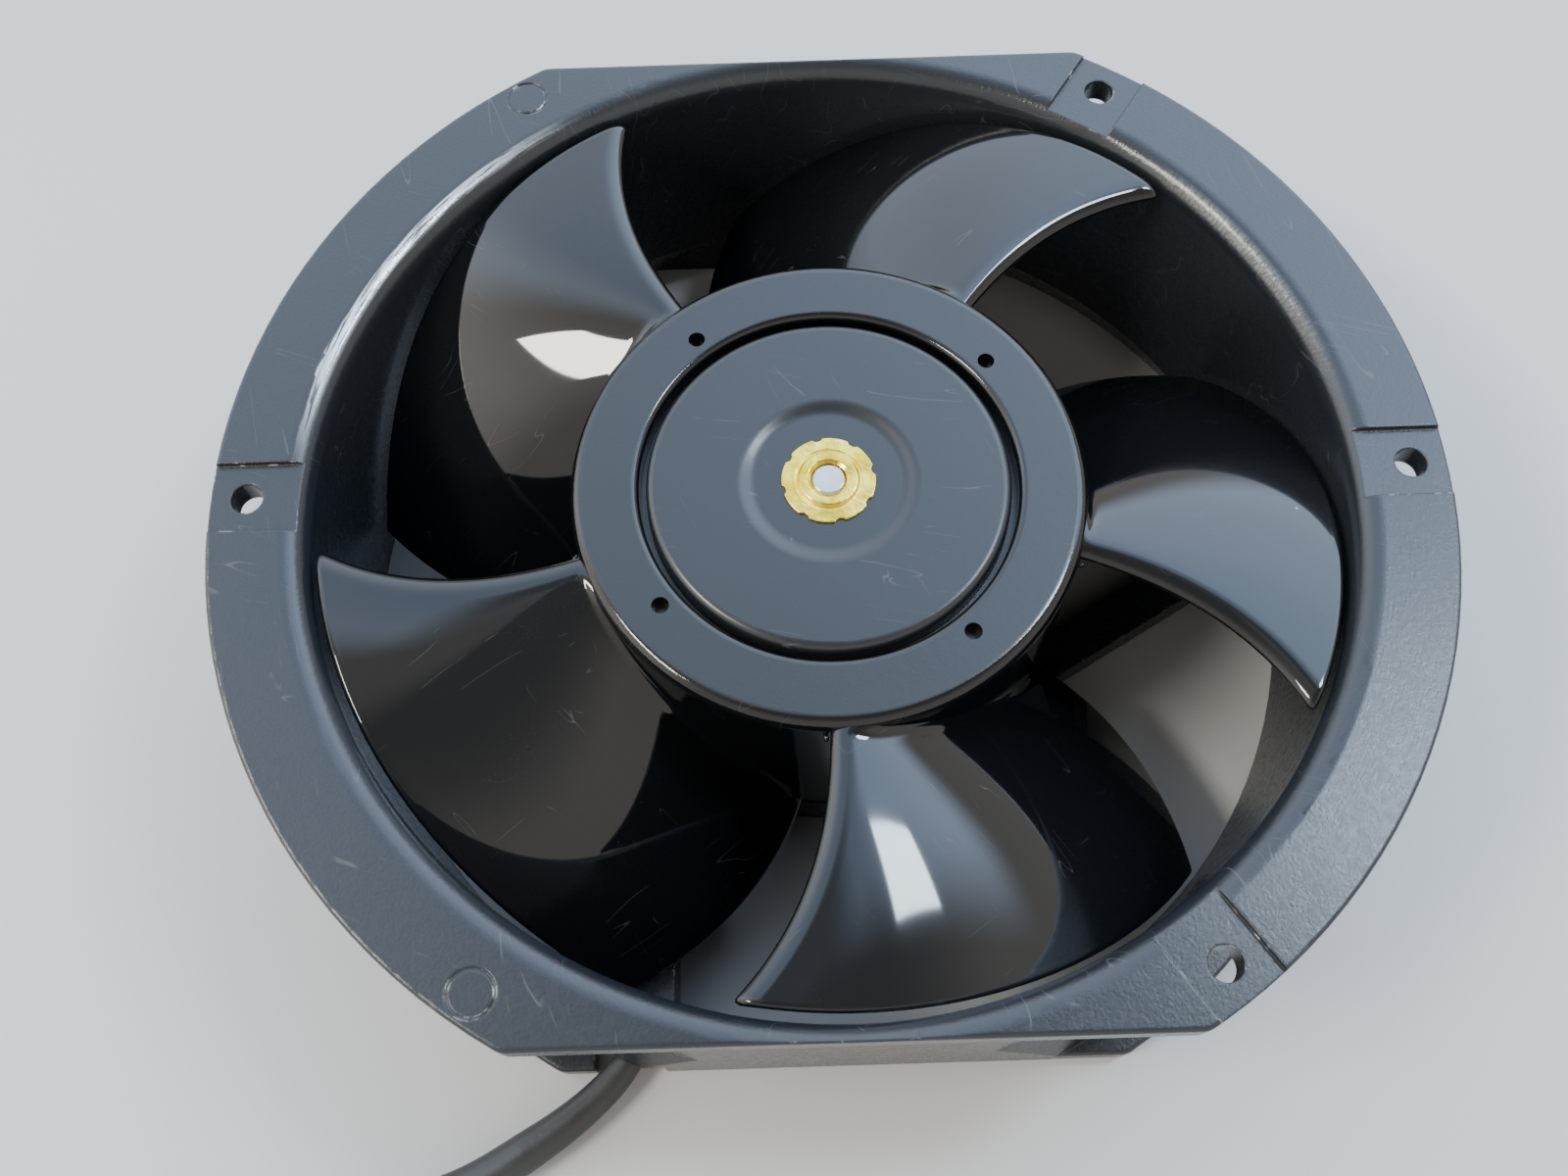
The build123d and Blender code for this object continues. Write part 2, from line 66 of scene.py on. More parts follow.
def finish_mesh(name, bm, material, body, sharp=SHARP_DEGREES):
    """Turns a bmesh in millimetres into a smooth-shaded piece that rides on a body."""
    bmesh.ops.scale(bm, vec=(MM, MM, MM), verts=bm.verts)
    bmesh.ops.recalc_face_normals(bm, faces=bm.faces)
    mesh = bpy.data.meshes.new(name)
    bm.to_mesh(mesh)
    bm.free()
    mesh.polygons.foreach_set("use_smooth", [True] * len(mesh.polygons))
    mesh.set_sharp_from_angle(angle=math.radians(sharp))
    mesh.materials.append(material)
    piece = bpy.data.objects.new(name, mesh)
    bpy.context.scene.collection.objects.link(piece)
    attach(piece, body)
    return piece


def rounded(corners):
    """An outline from (radius, height, fillet) corners, with each fillet as an arc and with
    a support point beside every bend, so that flat stretches shade flat."""
    outline = []
    for i, (x, z, fillet) in enumerate(corners):
        here = Vector((x, z))
        if not fillet or i in (0, len(corners) - 1):
            outline.append(here)
            continue
        before = (Vector(corners[i - 1][:2]) - here).normalized()
        after = (Vector(corners[i + 1][:2]) - here).normalized()
        half = before.angle(after) / 2
        centre = here + (before + after).normalized() * fillet / math.sin(half)
        start = (here + before * fillet / math.tan(half) - centre).normalized()
        end = (here + after * fillet / math.tan(half) - centre).normalized()
        for k in range(ROUND_STEPS + 1):
            outline.append(centre + start.slerp(end, k / ROUND_STEPS) * fillet)
    held = [outline[0]]
    for a, b in zip(outline, outline[1:]):
        gap = (b - a).length
        if gap > HOLD_FROM:
            held += [a.lerp(b, HOLD_GAP / gap), a.lerp(b, 1 - HOLD_GAP / gap)]
        held.append(b)
    return held


def bridge(bm, loops):
    """Joins closed loops of the same number of vertices, each to the next, with quads."""
    for a, b in zip(loops, loops[1:]):
        for k in range(len(a)):
            n = (k + 1) % len(a)
            bm.faces.new((a[k], a[n], b[n], b[k]))


def closed_lathe(bm, outline, segments):
    """Revolves an outline of (radius, height) about Z into a ring-shaped solid: the outline's last
    point joins its first."""
    turns = [2 * math.pi * k / segments for k in range(segments)]
    bridge(bm, [[bm.verts.new((x * math.cos(a), x * math.sin(a), z)) for a in turns]
                for x, z in outline + [outline[0]]])
    bmesh.ops.remove_doubles(bm, verts=bm.verts, dist=SEAM_GAP)


# ---- impeller: hub ring, barrel and blades ------------------------------------------------------
BLADE_COUNT = 5
LEAD_HALF_T = 1.1
TIP_THINNING = 0.42             # share of the thickness lost from hub to tip
TRAIL_HALF_T = 0.55
NOSE_LENGTH = 3.4               # the leading edge tapers and droops to its rim over this distance
NOSE_DROOP = 0.75
CORNER_R = 1.2                  # where the leading edge meets the tip
BLADE_ROOT_R = 35.0
ROOT_FILLET = 1.4
FLARE_FROM = 2.5                # the root's flare starts this far in from the blade's edges
FLARE_SLOPE = 0.25
FLARE_SHARE = 0.8               # share of the flare that each side takes
ROOT_INSET = 1.2                # the blades start this far inside the barrel
TIP_ROUND = 0.6
LEAD_TIP_ANGLE = -30.0          # degrees; the first blade's leading edge at its tip
LEAD_SWEEP = 10.1
TRAIL_ROOT_ANGLE = 76.0
TRAIL_SWEEP = 18.0
LEAD_Z = 49.2
TRAIL_ROOT_Z = 14.8
TRAIL_TIP_Z = 18.5
ROOT_CAMBER = 1.6
TIP_CAMBER = 2.4
TRAIL_SWEEP_POWER = 1.3
CHORD_STEPS = 64
CHORD_PACKING = 0.9             # how strongly the mesh gathers at the blade's edges
SPAN_STEPS = 40
SPAN_PACKING = 0.75
SLOPE_STEP = 0.1                # radius step for the blade's slope
BLADE_SHARP_DEGREES = 60
HUB_SEGMENTS = 256
CUP_FACE_R = 25.5
HUB_WALL = 4.6
HUB_EDGE_ROUND = 1.8
HUB_RING_GAP = 1.0              # between the hub ring and the rotor's front disc
HUB_RING_T = 3.8
HUB_BORE_ROUND = 1.1
NUB_R = 0.42                    # moulding flash left at each blade's leading root
NUB_PLACE = (0.4, -0.6)         # out from the hub, and up from the leading edge
NUB_TURN = -0.9
NUB_STRETCH = (1.5, 0.9, 1.0, 1.0)
BALANCE_HOLES = (38, 128, 218, 308)
BALANCE_CIRCLE_R = 29.6
BALANCE_HOLE_R = 1.2
BALANCE_HOLE_DEPTH = 2.4
HOLE_SEGMENTS = 32


def blade_surface(radius, chord, tip_r):
    """The blade's middle surface; chord runs from 0 at the leading edge to 1 at the trailing
    edge."""
    out = max((radius - BLADE_ROOT_R) / (tip_r - BLADE_ROOT_R), 0)
    lead = LEAD_SWEEP * (1 - out ** 2)
    into_corner = min(max(radius - tip_r + CORNER_R, 0), CORNER_R)
    lead += math.degrees((CORNER_R - math.sqrt(CORNER_R ** 2 - into_corner ** 2)) / tip_r)
    trail = TRAIL_ROOT_ANGLE - TRAIL_SWEEP * out ** TRAIL_SWEEP_POWER
    angle = math.radians(LEAD_TIP_ANGLE + lead + (trail - lead) * chord)
    trail_z = TRAIL_ROOT_Z + (TRAIL_TIP_Z - TRAIL_ROOT_Z) * out
    camber = ROOT_CAMBER + (TIP_CAMBER - ROOT_CAMBER) * out
    height = LEAD_Z - (LEAD_Z - trail_z) * max(chord, 0) ** camber
    from_lead = math.radians(trail - lead) * radius * chord
    height -= NOSE_DROOP * max(1 - from_lead / NOSE_LENGTH, 0) ** 2
    return Vector((radius * math.cos(angle), radius * math.sin(angle), height))


def round_off(inwards, length):
    """Share of the full thickness at a distance in from an edge that is rounded over a length."""
    if inwards >= length:
        return 1.0
    return math.sqrt(max(1 - (1 - inwards / length) ** 2, 0))


def blade_thickness(radius, chord, chord_length, hub_r, tip_r):
    """Half thickness: a long elliptical nose, thinner towards a round trailing edge, flared at the
    hub."""
    half = LEAD_HALF_T + (TRAIL_HALF_T - LEAD_HALF_T) * chord
    half *= 1 - TIP_THINNING * max(radius - hub_r, 0) / (tip_r - hub_r)
    from_lead, from_trail = chord * chord_length, (1 - chord) * chord_length
    half *= round_off(from_lead, NOSE_LENGTH)
    half *= round_off(from_trail, half)
    half *= round_off(tip_r - radius, TIP_ROUND)
    from_hub = radius - hub_r
    flare = min(ROOT_FILLET, max(min(from_lead, from_trail) - FLARE_FROM, 0) * FLARE_SLOPE)
    if from_hub < ROOT_FILLET and flare > 0:
        rise = 1 - max(from_hub, 0) / ROOT_FILLET
        half += flare * (1 - math.sqrt(1 - min(rise, 1) ** 2)) * FLARE_SHARE
    return half


def spaced(count, packing):
    """count + 1 values from 0 to 1, even at packing 0 and gathered at both ends at packing 1."""
    return [(1 - packing) * k / count + packing * (1 - math.cos(math.pi * k / count)) / 2
            for k in range(count + 1)]


def add_blade(bm, turn, hub_r, tip_r):
    """One closed blade shell, turned about the axis by an angle in degrees."""
    chords = spaced(CHORD_STEPS, CHORD_PACKING)
    root = hub_r - ROOT_INSET
    radii = [root + (tip_r - root) * s for s in spaced(SPAN_STEPS, SPAN_PACKING)]
    spin = Matrix.Rotation(math.radians(turn), 3, "Z")
    loops = []
    for radius in radii:
        points = [blade_surface(radius, c, tip_r) for c in chords]
        length = sum((b - a).length for a, b in zip(points, points[1:]))
        upper, lower = [], []
        for i, chord in enumerate(chords):
            along = points[min(i + 1, len(points) - 1)] - points[max(i - 1, 0)]
            beyond = blade_surface(radius + SLOPE_STEP, chord, tip_r)
            outwards = beyond - blade_surface(radius - SLOPE_STEP, chord, tip_r)
            normal = outwards.cross(along).normalized()
            half = blade_thickness(radius, chord, length, hub_r, tip_r)
            upper.append(points[i] + normal * half)
            lower.append(points[i] - normal * half)
        ring = upper + lower[-2:0:-1]
        loops.append([bm.verts.new(spin @ p) for p in ring])
    bridge(bm, loops)
    cap = loops[0]
    bm.faces.new((cap[0], cap[1], cap[-1]))
    for k in range(1, CHORD_STEPS - 1):
        bm.faces.new((cap[k], cap[k + 1], cap[-k - 1], cap[-k]))
    bm.faces.new((cap[CHORD_STEPS - 1], cap[CHORD_STEPS], cap[1 - CHORD_STEPS]))


def cut_holes(piece, places, radius, low, high):
    """Cuts plain round holes down the Z axis and applies the cut."""
    bm = bmesh.new()
    for x, y in places:
        made = bmesh.ops.create_cone(bm, cap_ends=True, segments=HOLE_SEGMENTS, radius1=radius,
                                     radius2=radius, depth=high - low)
        bmesh.ops.translate(bm, vec=(x, y, (low + high) / 2), verts=made["verts"])
    bmesh.ops.scale(bm, vec=(MM, MM, MM), verts=bm.verts)
    cutter_mesh = bpy.data.meshes.new("cutter")
    bm.to_mesh(cutter_mesh)
    bm.free()
    cutter = bpy.data.objects.new("cutter", cutter_mesh)
    bpy.context.scene.collection.objects.link(cutter)
    cut = piece.modifiers.new("holes", "BOOLEAN")
    cut.operation = "DIFFERENCE"
    cut.solver = "EXACT"
    cut.object = cutter
    result = bpy.data.meshes.new_from_object(
        piece.evaluated_get(bpy.context.evaluated_depsgraph_get()))
    piece.modifiers.clear()
    piece.data = result
    result.set_sharp_from_angle(angle=math.radians(SHARP_DEGREES))
    bpy.data.objects.remove(cutter)


def cup_radius():
    return size_mm("rotor_cup")[1].x


def on_circle(radius, degrees):
    """Places in the plane at a list of angles on a circle."""
    return [(radius * math.cos(math.radians(a)), radius * math.sin(math.radians(a)))
            for a in degrees]


def impeller_hub(material):
    """The satin-faced ring with its rounded rim, and the barrel behind it."""
    low, high = size_mm("impeller")
    wall_r, hub_r = cup_radius(), cup_radius() + HUB_WALL
    top, shelf = high.z, high.z - HUB_RING_T
    bore_r = CUP_FACE_R + HUB_RING_GAP
    outline = rounded([
        (wall_r, low.z, 0), (hub_r, low.z, 0.4), (hub_r, top, HUB_EDGE_ROUND),
        (bore_r, top, HUB_BORE_ROUND), (bore_r, shelf, 0.2), (wall_r, shelf, 0.3),
        (wall_r, low.z + 0.01, 0)])
    bm = bmesh.new()
    closed_lathe(bm, outline, HUB_SEGMENTS)
    piece = finish_mesh("impeller_hub", bm, material, "rotor")
    cut_holes(piece, on_circle(BALANCE_CIRCLE_R, BALANCE_HOLES), BALANCE_HOLE_R,
              top - BALANCE_HOLE_DEPTH, top + 1)
    return piece


def impeller_blades(material):
    """Five equal blades, each with a nub of flash where its leading edge leaves the hub."""
    high = size_mm("impeller")[1]
    tip_r = max(high.x, high.y)
    hub_r = cup_radius() + HUB_WALL
    bm = bmesh.new()
    for k in range(BLADE_COUNT):
        turn = k * 360 / BLADE_COUNT
        add_blade(bm, turn, hub_r, tip_r)
        root = blade_surface(hub_r + NUB_PLACE[0], 0.0, tip_r) + Vector((0, 0, NUB_PLACE[1]))
        spin = Matrix.Rotation(math.radians(turn + NUB_TURN), 4, "Z")
        shape = spin @ Matrix.Translation(root) @ Matrix.Diagonal(NUB_STRETCH)
        bmesh.ops.create_uvsphere(bm, u_segments=16, v_segments=10, radius=NUB_R, matrix=shape)
    bmesh.ops.remove_doubles(bm, verts=bm.verts, dist=WELD_GAP)
    return finish_mesh("impeller_blades", bm, material, "rotor",
                       BLADE_SHARP_DEGREES)


# ---- push-on washer ------------------------------------------------------------------------------
SCALLOPS = 8
SCALLOP_START = 12              # degrees
SCALLOP_HALF_ANGLE = 6
SCALLOP_DEPTH = 0.42
SCALLOP_ROOT_R = 5.2            # inside this radius the scallops no longer pull the rim in
LAND_T = 0.35
GROOVE_R = 4.8
GROOVE_FLOOR_R = 4.45
GROOVE_DEPTH = 0.08
COLLAR_R = 4.0
COLLAR_TOP_R = 3.0
COLLAR_FALL = 0.3               # the collar's drop to the shaft
WASHER_SEGMENTS = 288


def washer(material):
    """A pressed push-on washer: scalloped rim, flat land, shallow groove and a raised collar."""
    low, high = size_mm("shaft_retainer")
    shaft_r = size_mm("shaft")[1].x
    land = low.z + LAND_T
    outline = rounded([
        (shaft_r, low.z, 0), (high.x, low.z, 0.05), (high.x, land, 0.15), (GROOVE_R, land, 0.5),
        (GROOVE_FLOOR_R, land - GROOVE_DEPTH, 0.2), (COLLAR_R, high.z, 0.3),
        (COLLAR_TOP_R, high.z, 0.3), (shaft_r, high.z - COLLAR_FALL, 0)])
    pitch = 360 / SCALLOPS
    bm = bmesh.new()
    rings = []
    for k in range(WASHER_SEGMENTS):
        degrees = k * 360 / WASHER_SEGMENTS
        off = abs((degrees - SCALLOP_START + pitch / 2) % pitch - pitch / 2) / SCALLOP_HALF_ANGLE
        inset = SCALLOP_DEPTH * math.sqrt(1 - off ** 2) if off < 1 else 0.0
        turn = math.radians(degrees)
        points = []
        for point in outline:
            out = (point.x - SCALLOP_ROOT_R) / (high.x - SCALLOP_ROOT_R)
            radius = point.x - inset * max(0, min(1, out))
            points.append(bm.verts.new((radius * math.cos(turn), radius * math.sin(turn), point.y)))
        rings.append(points)
    bridge(bm, rings + [rings[0]])
    piece = finish_mesh("push_on_washer", bm, material, "rotor", 40)
    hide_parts("shaft_retainer")
    return piece


# ---- materials ----------------------------------------------------------------------------------
class Shader:
    """A procedural material, or the room around the object. Coordinates are the object's own, in
    metres, and for the room they are the direction looked in."""

    def __init__(self, name, room=False):
        if room:
            self.owner = bpy.data.worlds.new(name)
        else:
            self.owner = bpy.data.materials.new(name)
        self.owner.use_nodes = True
        self.tree = self.owner.node_tree
        self.tree.nodes.clear()
        self.place = self.add("TexCoord").outputs["Generated" if room else "Object"]

    def add(self, kind, inputs=None, **settings):
        node = self.tree.nodes.new("ShaderNode" + kind)
        for key, value in settings.items():
            setattr(node, key, value)
        for key, value in (inputs or {}).items():
            socket = node.inputs[key]
            if isinstance(value, bpy.types.NodeSocket):
                self.tree.links.new(value, socket)
            else:
                socket.default_value = value
        return node

    def math(self, operation, a, b=0.0):
        return self.add("Math", {0: a, 1: b}, operation=operation, use_clamp=False).outputs[0]

    def remap(self, value, low, high, out_low=0.0, out_high=1.0):
        inputs = {"Value": value, "From Min": low, "From Max": high,
                  "To Min": out_low, "To Max": out_high}
        return self.add("MapRange", inputs, interpolation_type="SMOOTHSTEP").outputs["Result"]

    def stretched(self, scale, turn=0.0):
        """Coordinates scaled per axis after a turn about Z, in degrees."""
        turned = self.add("VectorRotate", {"Vector": self.place, "Angle": math.radians(turn)},
                          rotation_type="Z_AXIS").outputs["Vector"]
        return self.add("VectorMath", {0: turned, 1: scale}, operation="MULTIPLY").outputs["Vector"]

    def noise(self, scale, detail=3.0, rough=0.55, place=None):
        inputs = {"Vector": place or self.place, "Scale": scale, "Detail": detail, "Roughness": rough}
        return self.add("TexNoise", inputs).outputs["Fac"]

    def polar(self):
        """Radius from the axis, angle in radians and height, as three values."""
        split = self.add("SeparateXYZ", {0: self.place}).outputs
        radius = self.math("SQRT", self.math("ADD", self.math("MULTIPLY", split["X"], split["X"]),
                                             self.math("MULTIPLY", split["Y"], split["Y"])))
        return radius, self.math("ARCTAN2", split["Y"], split["X"]), split["Z"]

    def scratches(self, scale, turn, width=0.006, share=0.55):
        """Thin wandering lines, kept only where a broad noise is high."""
        place = self.stretched((0.35, 4.0, 1.5), turn)
        line = self.math("ABSOLUTE", self.math("SUBTRACT", self.noise(scale, 1.0, 0.4, place), 0.5))
        line = self.remap(line, 0.0, width, 1.0, 0.0)
        patch = self.remap(self.noise(scale * 1.7, 2.0), share, share + 0.06)
        return self.math("MULTIPLY", line, patch)

    def specks(self, scale, radius, share):
        """Small round dots in a random share of the cells."""
        cells = self.add("TexVoronoi", {"Vector": self.place, "Scale": scale})
        chance = self.add("SeparateColor", {0: cells.outputs["Color"]}).outputs[0]
        dot = self.remap(cells.outputs["Distance"], radius * 0.6, radius, 1.0, 0.0)
        return self.math("MULTIPLY", dot, self.math("GREATER_THAN", chance, 1 - share))

    def mix(self, factor, a, b):
        node = self.add("Mix", {0: factor, 6: a, 7: b}, data_type="RGBA")
        return node.outputs[2]

    def blend(self, factor, a, b):
        return self.add("Mix", {0: factor, 2: a, 3: b}, data_type="FLOAT").outputs[0]

    def bump(self, height, distance, strength=1.0, normal=None):
        inputs = {"Height": height, "Distance": distance, "Strength": strength}
        if normal is not None:
            inputs["Normal"] = normal
        return self.add("Bump", inputs).outputs["Normal"]

    def softened(self, radius):
        """The normal that rounds sharp edges in the light."""
        return self.add("Bevel", {"Radius": radius}, samples=6).outputs["Normal"]

    def near_edges(self, soft):
        """1 where the softened normal leaves the true one."""
        sharp = self.add("NewGeometry").outputs["Normal"]
        dot = self.add("VectorMath", {0: soft, 1: sharp}, operation="DOT_PRODUCT").outputs["Value"]
        return self.remap(self.math("SUBTRACT", 1.0, dot), 0.03, 0.25)

    def facing_up(self):
        """The Z part of the surface's direction."""
        return self.add("SeparateXYZ", {0: self.add("NewGeometry").outputs["Normal"]}).outputs["Z"]

    def scaled(self, x, x_scale, y, y_scale):
        """Two values, each times a scale, as flat coordinates."""
        return self.add("CombineXYZ", {0: self.math("MULTIPLY", x, x_scale),
                                       1: self.math("MULTIPLY", y, y_scale), 2: 0.0}).outputs[0]

    def between(self, value, start, full, fade, end):
        """1 from full to fade, falling to 0 at start and at end."""
        return self.math("MULTIPLY", self.remap(value, start, full),
                         self.remap(value, fade, end, 1.0, 0.0))

    def finish(self, **inputs):
        inputs = {key.replace("_", " "): value for key, value in inputs.items()}
        surface = self.add("BsdfPrincipled", inputs)
        self.add("OutputMaterial", {"Surface": surface.outputs["BSDF"]})
        return self.owner


def grey(value, blue=1.0):
    """A grey that leans to blue by a factor, and by part of it to green."""
    return (value, value * (1 + (blue - 1) * 0.4), value * blue, 1.0)


# Places on the inlet round, in metres and radians about the axis.
LIP_FROM_HEIGHT = (0.045, 0.0475)
LIP_TO_RADIUS = (0.0764, 0.0766)
LIP_SLOPE = (0.975, 0.992)      # Z part of the normal; below this, the surface is the round's
# Painted highlights on the inlet round: a brighter, metallic, streaked patch upper left (first angles
# and radii) and a band broken into specks upper right (next ones).
LEFT_HIGHLIGHT_ANGLES = (2.05, 2.5, 2.75, 3.1)
LEFT_HIGHLIGHT_RADIUS = (0.0736, 0.0746)
RIGHT_HIGHLIGHT_ANGLES = (0.1, 0.55, 0.6, 0.85)
RIGHT_HIGHLIGHT_RADIUS = (0.0726, 0.0733, 0.0741, 0.0750)
SCUFFED_ANGLES = (-1.3, -0.9, -0.2, 0.1)


def inlet_round_and_highlights(s, radius, angle, height):
    """Where the inlet round is, the highlights painted on it, and the height of its machining ripples.
    """
    lip = s.math("MULTIPLY", s.remap(s.facing_up(), *LIP_SLOPE, 1.0, 0.0),
                 s.remap(height, *LIP_FROM_HEIGHT))
    lip = s.math("MULTIPLY", lip, s.remap(radius, *LIP_TO_RADIUS, 1.0, 0.0))
    along = s.math("ADD", s.math("MULTIPLY", angle, 14.0), s.math("MULTIPLY", radius, 900.0))
    lines = s.add("CombineXYZ", {0: along, 1: s.math("MULTIPLY", radius, 3800.0),
                                 2: s.math("MULTIPLY", height, 900.0)}).outputs[0]
    lines = s.remap(s.noise(1.0, 3, 0.6, lines), 0.36, 0.52)
    ripples = s.noise(1.0, 2, 0.6, s.scaled(angle, 190.0, height, 1300.0))
    # Painted highlight: a brighter, metallic, streaked patch on the upper left of the round.
    left_highlight = s.math("MULTIPLY", s.between(angle, *LEFT_HIGHLIGHT_ANGLES),
                    s.math("MULTIPLY", lines, s.remap(radius, *LEFT_HIGHLIGHT_RADIUS)))
    band = s.between(radius, *RIGHT_HIGHLIGHT_RADIUS)
    # Painted highlight: a band broken into specks on the upper right of the round, in the same band as
    # the ripples.
    right_highlight = s.math("MULTIPLY", s.between(angle, *RIGHT_HIGHLIGHT_ANGLES),
                      s.remap(ripples, 0.35, 0.7, 0.25, 1.0))
    right_highlight = s.math("MULTIPLY", right_highlight, band)
    # The painted highlight from both places, kept to the round.
    painted_highlight = s.math("MULTIPLY", lip, s.math("MAXIMUM", left_highlight, s.math("MULTIPLY", right_highlight, 0.25)))
    return lip, painted_highlight, s.math("MULTIPLY", s.math("MULTIPLY", lip, band), ripples)


def paint_on_casting():
    """Semi-gloss black paint over a fine casting skin, chipped to bright metal on the edges, with
    highlights painted on the inlet round."""
    s = Shader("black_paint")
    soft = s.softened(0.00045)
    radius, angle, height = s.polar()
    lip, painted_highlight, ripples = inlet_round_and_highlights(s, radius, angle, height)
    arcs = s.noise(1.0, 3, 0.65, s.scaled(angle, 9.0, radius, 5200.0))
    scuffs = s.math("MULTIPLY", s.between(angle, *SCUFFED_ANGLES), arcs)
    grain = s.noise(2300, 4, 0.6)
    peel = s.noise(850, 2)
    chips = s.math("MULTIPLY", s.near_edges(soft), s.remap(s.noise(330, 4, 0.6), 0.56, 0.62))
    rub = s.math("MAXIMUM", s.scratches(70, 20), s.scratches(55, 75))
    tone = s.mix(s.noise(24, 3), grey(0.0085, 1.5), grey(0.014, 1.5))
    tone = s.mix(s.math("MULTIPLY", rub, 0.35), tone, grey(0.09, 1.05))
    tone = s.mix(chips, tone, grey(0.55))
    tone = s.mix(s.specks(90, 0.022, 0.25), tone, grey(0.35))
    # Painted highlight: the inlet round turns light grey there.
    tone = s.mix(painted_highlight, tone, grey(0.55))
    rough = s.math("ADD", s.remap(peel, 0.2, 0.8, 0.24, 0.30), s.math("MULTIPLY", rub, 0.12))
    rough = s.blend(lip, rough, 0.22)
    normal = s.bump(grain, 0.00006, 0.5, s.bump(peel, 0.00003, 0.25, soft))
    normal = s.bump(scuffs, 0.00003, 0.5, normal)
    normal = s.bump(ripples, 0.00012, 0.3, normal)
    # Metal shows at the edge chips and under the painted highlight.
    metal_chips_and_highlight = s.math("MAXIMUM", s.math("MULTIPLY", chips, 0.9), s.math("MULTIPLY", painted_highlight, 0.8))
    return s.finish(Base_Color=tone, Roughness=rough, Metallic=metal_chips_and_highlight, Normal=normal, IOR=1.5)


def gloss_plastic(name, satin_top=False):
    """Mirror-gloss black plastic with dust, wipe marks and hairline scratches. The hub's front
    face, from the moulding tool, is satin."""
    s = Shader(name)
    smear = s.noise(9, 3, 0.6, s.stretched((1.0, 3.0, 1.0), 35))
    hair = s.math("MAXIMUM", s.scratches(60, -35, 0.004, 0.58), s.scratches(85, 50, 0.004, 0.6))
    dust = s.math("MULTIPLY", s.remap(s.noise(5200, 2), 0.62, 0.78),
                  s.remap(s.noise(45, 3), 0.42, 0.7))
    dots = s.specks(120, 0.024, 0.16)
    tone = s.mix(s.math("MULTIPLY", dust, 0.5), grey(0.0032, 1.35), grey(0.05, 1.1))
    tone = s.mix(s.math("MULTIPLY", hair, 0.4), tone, grey(0.08))
    tone = s.mix(dots, tone, grey(0.4))
    rough = s.remap(smear, 0.35, 0.7, 0.03, 0.06)
    rough = s.math("ADD", rough, s.math("MULTIPLY", dust, 0.15))
    normal = s.bump(s.noise(26, 1), 0.0012, 0.12)
    if satin_top:
        flat = s.remap(s.facing_up(), 0.97, 0.995)
        rough = s.blend(flat, rough, s.remap(smear, 0.3, 0.7, 0.26, 0.32))
        tone = s.mix(flat, tone, s.mix(dots, grey(0.009, 1.35), grey(0.4)))
        fine = s.bump(s.noise(3000, 3), 0.00003, 0.4, normal)
        normal = s.bump(s.noise(500, 2), 0.00005, 0.3, fine)
    return s.finish(Base_Color=tone, Roughness=rough, Normal=normal, IOR=1.5)


def coated_steel():
    """Satin black coating on drawn steel: soft orange peel, fine rubs round the axis."""
    s = Shader("black_steel")
    radius, angle = s.polar()[:2]
    peel = s.noise(650, 2)
    broad = s.noise(40, 3)
    rings = s.noise(1.0, 2, 0.5, s.scaled(radius, 2600.0, angle, 1.0))
    rub = s.math("MAXIMUM", s.scratches(75, 10, 0.005, 0.56), s.scratches(60, 62, 0.005, 0.58))
    dots = s.specks(160, 0.022, 0.12)
    tone = s.mix(broad, grey(0.0095, 1.35), grey(0.0115, 1.35))
    tone = s.mix(s.math("MULTIPLY", rub, 0.35), tone, grey(0.10))
    tone = s.mix(dots, tone, grey(0.35))
    rough = s.math("ADD", s.remap(peel, 0.2, 0.8, 0.27, 0.30), s.remap(rings, 0.3, 0.7, -0.01, 0.01))
    normal = s.bump(peel, 0.00002, 0.15, s.bump(rings, 0.00001, 0.12, s.softened(0.0003)))
    return s.finish(Base_Color=tone, Roughness=rough, Normal=normal, IOR=1.5)


def yellow_zinc():
    """Yellow-passivated zinc with the drift to green and rose that the coating has."""
    s = Shader("yellow_zinc")
    hue = s.noise(320, 3)
    tone = s.mix(s.remap(hue, 0.35, 0.65), (0.66, 0.42, 0.02, 1), (0.90, 0.70, 0.09, 1))
    tone = s.mix(s.remap(s.noise(210, 2), 0.55, 0.7), tone, (0.46, 0.36, 0.03, 1))
    rub = s.scratches(240, 30, 0.02, 0.5)
    tone = s.mix(s.math("MULTIPLY", rub, 0.6), tone, (0.95, 0.85, 0.6, 1))
    dents = s.bump(s.noise(380, 2), 0.0004, 0.5, s.softened(0.00015))
    normal = s.bump(s.noise(1900, 3), 0.00004, 0.5, dents)
    rough = s.remap(s.noise(900, 2), 0.3, 0.7, 0.14, 0.28)
    return s.finish(Base_Color=tone, Metallic=1.0, Roughness=rough, Normal=normal)


def darker(tone, share):
    """A colour with only a share of its light."""
    return tuple(share * c for c in tone[:3]) + (1.0,)


def turned_metal(name, tone, rough=0.22, pitch=9000.0):
    """Machined metal with turning marks about the axis and light smears."""
    s = Shader(name)
    radius, _, height = s.polar()
    place = s.add("CombineXYZ", {0: s.math("MULTIPLY", radius, pitch), 1: 0.0,
                                 2: s.math("MULTIPLY", height, pitch)}).outputs[0]
    marks = s.noise(1.0, 2, 0.6, place)
    smear = s.noise(260, 3)
    return s.finish(Base_Color=s.mix(smear, darker(tone, 0.7), tone), Metallic=1.0,
                    Roughness=s.remap(smear, 0.2, 0.8, rough, rough + 0.15),
                    Normal=s.bump(marks, 0.00001, 0.5, s.softened(0.0002)))


